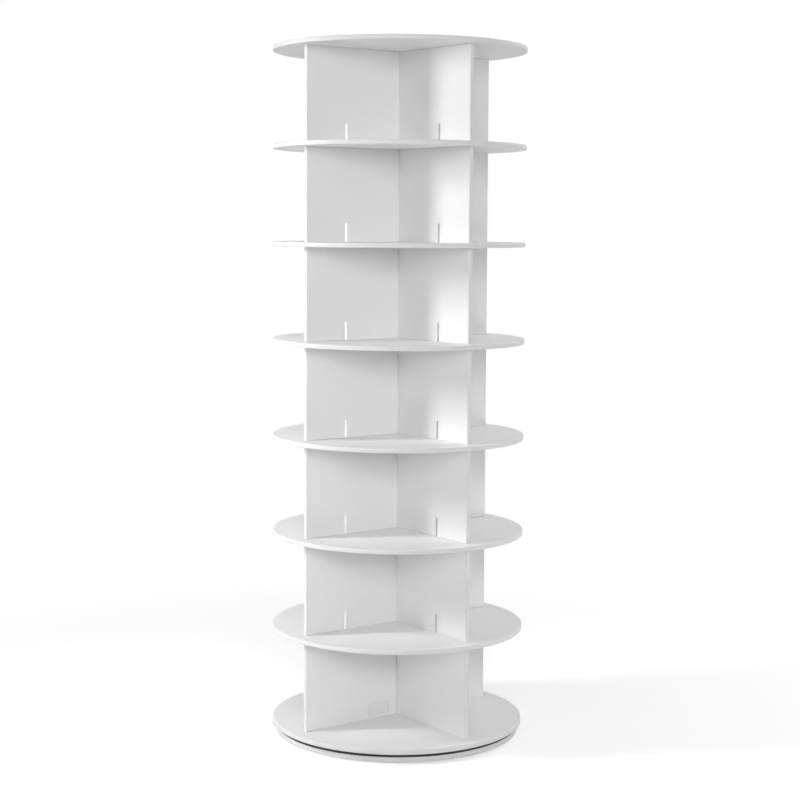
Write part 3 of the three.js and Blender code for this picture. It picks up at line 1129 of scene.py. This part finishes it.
class SHOETOWER_OT_studio(bpy.types.Operator):
    """Make the floor, the lights and the photograph's camera"""

    bl_idname = "shoe_tower.make_studio"
    bl_label = "Studio"

    def execute(self, context):
        self.make_floor()
        self.make_room_light()
        for name, softbox in SOFTBOXES.items():
            self.make_softbox(name, softbox)
        self.make_level_light()
        self.make_camera()
        context.scene.view_settings.view_transform = "Standard"
        return {"FINISHED"}

    def make_floor(self):
        """A matt pale floor with the tower's shadow on it. Further off it is the room's white."""
        bm = bmesh.new()
        radius, steps = studio().floor_radius, quality().floor_steps
        bmesh.ops.create_circle(bm, cap_ends=True, radius=radius, segments=steps)
        floor = bpy.data.objects.new("studio_floor", into_mesh("studio_floor", bm))
        bpy.context.scene.collection.objects.link(floor)
        material, tree, shader, coordinates = new_material("studio_floor")
        mottle = noise(tree, coordinates, scale=1.5, detail=3)
        tree.links.new(tint(tree, mottle, colours().floor, shade=0.995), shader.inputs["Base Color"])
        shader.inputs["Roughness"].default_value = 0.9
        shader.inputs["Specular IOR Level"].default_value = 0.1
        seen = seen_directly(tree)
        glow = tree.nodes.new("ShaderNodeEmission")
        tree.links.new(times(tree, seen, studio().floor_glow), glow.inputs["Strength"])
        lit = tree.nodes.new("ShaderNodeAddShader")
        tree.links.new(shader.outputs[0], lit.inputs[0])
        tree.links.new(glow.outputs[0], lit.inputs[1])
        away = tree.nodes.new("ShaderNodeVectorMath")
        away.operation = "LENGTH"
        tree.links.new(coordinates, away.inputs[0])
        fade = tree.nodes.new("ShaderNodeMapRange")
        fade.interpolation_type = "SMOOTHSTEP"
        fade.inputs["From Min"].default_value = studio().floor_near
        fade.inputs["From Max"].default_value = studio().floor_far
        tree.links.new(away.outputs["Value"], fade.inputs["Value"])
        room_white = tree.nodes.new("ShaderNodeEmission")
        either = tree.nodes.new("ShaderNodeMixShader")
        tree.links.new(times(tree, seen, fade.outputs["Result"]), either.inputs[0])
        tree.links.new(lit.outputs[0], either.inputs[1])
        tree.links.new(room_white.outputs[0], either.inputs[2])
        tree.links.new(either.outputs[0], tree.nodes["Material Output"].inputs["Surface"])
        floor.data.materials.append(material)

    def make_room_light(self):
        """White where the room is seen or mirrored, and an even soft light where it isn't."""
        world = bpy.data.worlds.new("studio_room")
        bpy.context.scene.world = world
        world.use_nodes = True
        tree = world.node_tree
        light = tree.nodes["Background"]
        light.inputs["Color"].default_value = (1, 1, 1, 1)
        light.inputs["Strength"].default_value = studio().ambient
        backdrop = tree.nodes.new("ShaderNodeBackground")
        backdrop.inputs["Color"].default_value = (1, 1, 1, 1)
        either = tree.nodes.new("ShaderNodeMixShader")
        tree.links.new(seen_directly(tree), either.inputs[0])
        tree.links.new(light.outputs[0], either.inputs[1])
        tree.links.new(backdrop.outputs[0], either.inputs[2])
        tree.links.new(either.outputs[0], tree.nodes["World Output"].inputs["Surface"])

    def make_softbox(self, name, softbox):
        """One lamp of the table, facing the turning axis."""
        lamp = bpy.data.lights.new(name, "AREA")
        lamp.shape = "RECTANGLE"
        lamp.spread = math.radians(softbox.beam)
        lamp.size, lamp.size_y = softbox.width, softbox.tall
        lamp.energy = getattr(studio(), softbox.light)
        turn = math.radians(softbox.azimuth)
        away = softbox.distance
        place = Vector((away * math.cos(turn), away * math.sin(turn), softbox.height))
        ray = Vector((0, 0, softbox.aim)) - place
        facing = ray.to_track_quat("-Z", "Y").to_matrix().to_4x4()
        self.hang(name, lamp, Matrix.Translation(place) @ facing)

    def make_level_light(self):
        """Parallel light, level with the floor. A sun shines down, so it is laid over first."""
        lamp = bpy.data.lights.new("slot_light", "SUN")
        lamp.energy = studio().slots
        lamp.angle = studio().slots_softness
        from_x = Matrix.Rotation(math.pi / 2, 4, "Y")
        self.hang("slot_light", lamp, Matrix.Rotation(studio().slots_turn, 4, "Z") @ from_x)

    def hang(self, name, lamp, place):
        """Puts a lamp in the scene."""
        holder = bpy.data.objects.new(name, lamp)
        bpy.context.scene.collection.objects.link(holder)
        holder.matrix_world = place

    def make_camera(self):
        """The photograph's camera, as it was fitted to the discs' outlines."""
        camera = bpy.data.cameras.new("photo_camera")
        camera.lens = studio().lens
        camera.shift_y = studio().shift
        camera.clip_end = 100
        eye = bpy.data.objects.new("photo_camera", camera)
        bpy.context.scene.collection.objects.link(eye)
        stand = Matrix.Translation((0, -studio().distance, studio().height))
        level = Matrix.Rotation(-studio().yaw, 4, "Z")
        down = Matrix.Rotation(math.pi / 2 - studio().pitch, 4, "X")
        lean = Matrix.Rotation(studio().roll, 4, "Z")
        eye.matrix_world = Matrix.Rotation(studio().turn, 4, "Z") @ stand @ level @ down @ lean
        bpy.context.scene.camera = eye


# Panel and registration


class SHOETOWER_PT_panel(bpy.types.Panel):
    """Lists what the shoe tower is made of"""

    bl_label = "Shoe Tower"
    bl_idname = "SHOETOWER_PT_panel"
    bl_space_type = "VIEW_3D"
    bl_region_type = "UI"
    bl_category = "Shoe Tower"

    def draw(self, context):
        for maker in MAKERS:
            self.layout.operator(maker.bl_idname)
        for group in (sizes(), colours(), studio(), quality()):
            box = self.layout.box()
            for name in group.__annotations__:
                box.prop(group, name)


MAKERS = (
    SHOETOWER_OT_discs,
    SHOETOWER_OT_dividers,
    SHOETOWER_OT_badge,
    SHOETOWER_OT_floor_pads,
    SHOETOWER_OT_turntable,
    SHOETOWER_OT_fasteners,
    SHOETOWER_OT_studio,
)
SETTINGS = {
    "shoe_tower_sizes": TowerSizes,
    "shoe_tower_colours": TowerColours,
    "shoe_tower_studio": TowerStudio,
    "shoe_tower_quality": MeshQuality,
}


def register():
    for group in (*SETTINGS.values(), *MAKERS, SHOETOWER_PT_panel):
        bpy.utils.register_class(group)
    for name, group in SETTINGS.items():
        setattr(bpy.types.Scene, name, PointerProperty(type=group))


def unregister():
    for name in SETTINGS:
        delattr(bpy.types.Scene, name)
    for group in reversed((*SETTINGS.values(), *MAKERS, SHOETOWER_PT_panel)):
        bpy.utils.unregister_class(group)


def main():
    register()
    bpy.ops.shoe_tower.make_discs()
    bpy.ops.shoe_tower.make_dividers()
    bpy.ops.shoe_tower.make_badge()
    bpy.ops.shoe_tower.make_floor_pads()
    bpy.ops.shoe_tower.make_turntable()
    bpy.ops.shoe_tower.make_fasteners()
    bpy.ops.shoe_tower.make_studio()


if __name__ == "__main__":
    main()
